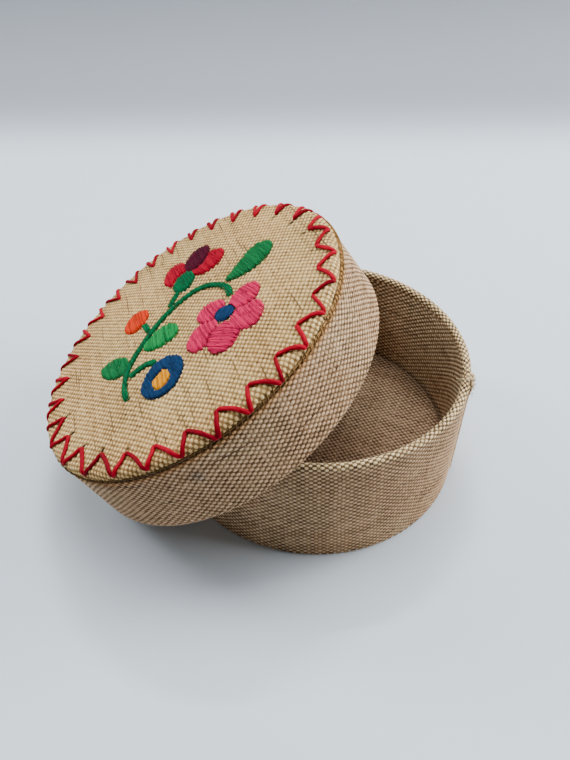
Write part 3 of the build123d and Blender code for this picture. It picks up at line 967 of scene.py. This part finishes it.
def zigzag_corners(profile, rng):
    """The thread's corners in order, as (angle in degrees, distance along the cloth from its centre)."""
    corners = []
    for k in range(TOOTH_COUNT):
        here, radius = inner_vertex(k)
        after, next_radius = inner_vertex(k + 1)
        middle = (here + after) / 2
        corners.append((here, radius + rng.normal(0, 0.3) * (k > 0)))
        if FAR_START < middle % 360 < FAR_END:
            past = min(profile.length - 0.3, 54.4 + 0.05 * abs(middle % 360 - FAR_START))
            corners.append((here - edge_feet(here)[0] + rng.normal(0, 0.4), past))
            corners.append((after + edge_feet(after)[1] + rng.normal(0, 0.4), past))
        else:
            lean = 0.5 - 0.3 * bump(middle, -102, 42) + 0.08 * bump(middle, -8, 22)
            corners.append((here + (after - here) * lean, 53.6 + 2.0 * bump(middle, -66, 34) + rng.normal(0, 0.15)))
    corners.append((after, next_radius))
    return corners


def make_zigzag():
    profile = lid_top_profile()
    rng = np.random.default_rng(5)
    corners = zigzag_corners(profile, rng)
    k = np.linspace(-0.03, 1.03, 21)
    paths, normals = [], []
    for (angle0, r0), (angle1, r1) in zip(corners[:-1], corners[1:]):
        a0, a1 = math.radians(angle0), math.radians(angle1)
        along_edge = r0 > 54 and r0 == r1
        x = r0 * math.cos(a0) * (1 - k) + r1 * math.cos(a1) * k
        y = r0 * math.sin(a0) * (1 - k) + r1 * math.sin(a1) * k
        sway = rng.normal(0, 0.15) + (0.25 + 0.8 * bump(angle0, -105, 35)) * (1 if r1 > r0 else -0.4)
        size = math.hypot(x[-1] - x[0], y[-1] - y[0])
        if not along_edge:
            bow = sway * np.sin(math.pi * k)
            x, y = x - bow * (y[-1] - y[0]) / size, y + bow * (x[-1] - x[0]) / size
        angle, rho = np.arctan2(y, x), np.hypot(x, y)
        if along_edge:
            angle, rho = a0 + (a1 - a0) * k, np.full(k.shape, r0)
        lift = 0.1 + 0 * k if along_edge else 0.42 * np.clip(np.sin(math.pi * np.clip(k, 0, 1)) * 3.2, 0, 1) - 0.05
        far = FAR_START < (angle0 + angle1) / 2 % 360 < FAR_END + 7
        lift = lift - 0.42 * np.clip((rho - 51.0) / 3.0, 0, 1) * far
        points, normal = on_top(profile, angle, rho, lift)
        paths.append(points)
        normals.append(normal)
    wide = rng.uniform(0.54, 0.76, len(paths))
    verts, faces, uvs = tubes(np.array(paths), np.array(normals), wide, 0.44, sides=10)
    piece = make_piece("edge_zigzag_threads", "lid", verts, faces, uvs, RED)
    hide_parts("edge_zigzag_stitch")


def make_seam_thread():
    """A thread that lies in the groove, and the stitches that whip the top's edge to the side."""
    radii, heights = lid.ring("lid_seam_thread")
    middle, h = (radii.max() + radii.min()) / 2, (heights.max() + heights.min()) / 2
    rng = np.random.default_rng(9)

    turn = np.linspace(0, 2 * math.pi, 901)[None]
    r = middle - 0.1 - 0.35 * groove_depth(turn) + swell(turn, h) + 0.05 * np.sin(turn * 61)
    cord = [turn, r, h + 0.07 * np.sin(turn * 37), 0.3, 1, 8]

    count, k = 190, np.linspace(0, 1, 9)
    start = np.linspace(0, 2 * math.pi, count, endpoint=False) + rng.normal(0, 0.003, count)
    turn = start[:, None] + (1.1 + rng.normal(0, 0.3, count))[:, None] / middle * k
    height = h - 1.0 + (1.9 + rng.normal(0, 0.15, count))[:, None] * k
    r = middle + 0.15 + 0.33 * np.sin(math.pi * k)[None] + swell(turn, height) - 0.25 * k - 0.4 * groove_depth(turn)
    whips = [turn, r, height, 0.19, 2, 6]

    verts, faces, uvs, painted_groove_shade, above = [], [], [], [], 0
    for turn, r, height, half, taper, sides in (cord, whips):
        paths = lid.around(r, turn, height)
        normals = lid.direction(1, turn, 0 * turn)
        part_verts, part_faces, part_uvs = tubes(paths, normals, half, half, sides, taper)
        verts.append(part_verts)
        faces += [f + above for f in part_faces]
        uvs += part_uvs
        # Painted shade on the thread where it lies in the groove.
        painted_groove_shade.append(np.repeat(0.9 * groove_depth(turn).ravel(), sides))
        above += len(part_verts)
    piece = make_piece("lid_seam_cord", "lid", np.concatenate(verts), faces, uvs, SEAM_THREAD,
                       {"painted_groove_shade": np.concatenate(painted_groove_shade)})
    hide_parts("lid_seam_thread")


def make_padding(name, body, place, node, relief):
    """A closed, lumpy pad of wadding, flat below, with the shape of its CAD node and a softly uneven top."""
    radii, heights = place.ring(node)
    reach, low, high = radii.max() - 0.15, heights.min() + 0.05, heights.max() - 0.15
    around = np.linspace(0, 2 * math.pi, 144, endpoint=False)
    section = [(reach * q, high, 1.0) for q in np.linspace(0.02, 0.96, 30)]
    section += [(reach * (0.96 + 0.04 * math.sin(a)), high - (high - low) * (1 - math.cos(a)), 1 - a / 1.6)
                for a in np.linspace(0.2, 1.57, 6)]
    section += [(reach * 0.98, low, 0.0), (reach * 0.02, low, 0.0)]
    r, h, soft = (np.array(column)[:, None] for column in zip(*section))
    x, y = r * np.cos(around), r * np.sin(around)
    lumps = 0.12 * smooth_noise(x, y, 83, 9) - 0.12
    h = h + soft * (relief(x, y) * 0.9 + lumps)
    verts = place.world(x, y, np.broadcast_to(h, x.shape))
    faces = grid_faces(len(section), len(around), closed=True)
    ends = [np.arange(len(around))[::-1], (len(section) - 1) * len(around) + np.arange(len(around))]
    pad = simple_object(name, verts.reshape(-1, 3), [*faces, *ends], WADDING)
    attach(pad, body)
    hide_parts(node)


def dress_inner_nodes():
    """The boards and cards inside the cloth keep their CAD shapes."""
    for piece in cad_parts.values():
        if piece.hide_render:
            continue
        piece.data.materials.clear()
        piece.data.materials.append(BOARD)


# ---------- stage

def make_stage():
    """A pale table that sweeps up into a wall a little way behind the box, the wall darkened with painted shade."""
    bend, rise = 265.0, 90.0
    section = [(-1500.0, 0.0), (bend, 0.0)]
    section += [(bend + rise * math.sin(a), rise - rise * math.cos(a)) for a in np.radians(np.linspace(4, 90, 24))]
    section += [(bend + rise, 2000.0)]
    side = 2500.0
    verts = [(x, y, z) for y, z in section for x in (-side, side)]
    faces = grid_faces(len(section), 2, closed=False)
    g = Graph("table_with_painted_wall_shade")
    pale = g.ramp(g.noise(g.place(), 3.0, 2.0), (0.3, (0.61, 0.67, 0.73)), (0.7, (0.64, 0.70, 0.765)))
    # Painted shade: the colour darkens from 0.22 m to 0.31 m behind the box, where the table sweeps up into the wall.
    wall = g.span(g.split(g.place())[1], 0.22, 0.31)
    g.put(g.shader.inputs["Base Color"], g.blend(wall, pale, (0.27, 0.29, 0.325)))
    g.shader.inputs["Roughness"].default_value = 0.6
    g.shader.inputs["Specular IOR Level"].default_value = 0.2
    table = simple_object("table", verts, faces, g.material)


def area_light(name, at, target, size, power, colour):
    data = bpy.data.lights.new(name, "AREA")
    data.shape = "RECTANGLE"
    data.size, data.size_y = size
    data.energy = power
    data.color = colour
    light = new_object(name, data)
    light.location = at
    aim = Vector(target) - Vector(at)
    light.rotation_euler = aim.to_track_quat("-Z", "Y").to_euler()


def make_lights():
    """Soft lights above, behind and beside the box, and a faint room."""
    world = bpy.data.worlds.new("room")
    world.use_nodes = True
    background = world.node_tree.nodes["Background"].inputs
    background["Color"].default_value = (1.0, 0.97, 0.94, 1.0)
    background["Strength"].default_value = 0.1
    bpy.context.scene.world = world
    aim, cool = (0, 0, 0.03), (0.95, 0.98, 1.0)
    area_light("back_window", (0.0, 0.4, 0.65), aim, (0.17, 0.14), 20.5, cool)
    area_light("overhead", (0.0, 0.17, 0.78), aim, (0.5, 0.4), 5.6, cool)
    area_light("right_window", (0.85, 0.0, 0.38), aim, (0.5, 0.4), 9.6, (0.96, 0.98, 1.0))
    area_light("right_back", (0.6, 0.35, 0.55), aim, (0.4, 0.4), 8.8, cool)
    area_light("left_back", (-0.6, 0.35, 0.55), aim, (0.4, 0.4), 9.6, cool)
    area_light("room_fill", (-0.5, -0.5, 0.4), aim, (0.6, 0.6), 0.35, (1.0, 0.98, 0.95))


def make_camera():
    """At the viewing angle of a person who looks down on the box from the front."""
    camera_at = Vector((-14.65, -157.37, 181.17)) * MM
    looks_at = Vector((-9.41, 28.94, 0.0)) * MM
    roll, lens = math.radians(0.37), 30.79
    ahead = (looks_at - camera_at).normalized()
    right = ahead.cross(Vector((0, 0, 1))).normalized()
    up = right.cross(ahead)
    right, up = right * math.cos(roll) + up * math.sin(roll), up * math.cos(roll) - right * math.sin(roll)
    data = bpy.data.cameras.new("camera")
    data.lens = lens
    data.clip_start = 0.01
    camera = new_object("camera", data)
    camera.matrix_world = Matrix.Translation(camera_at) @ Matrix((right, up, -ahead)).transposed().to_4x4()
    bpy.context.scene.camera = camera


make_camera()
make_lights()
make_stage()
make_base()
PAD_RELIEF = simulate_padding()
make_padding("base_floor_wadding", "base", base, "base_floor_padding", lambda x, y: 0.0 * x)
make_padding("lid_top_wadding", "lid", lid, "lid_top_padding", padded_crown)
make_lid_shell()
make_lid_top()
make_embroidery()
make_zigzag()
make_seam_thread()
dress_inner_nodes()
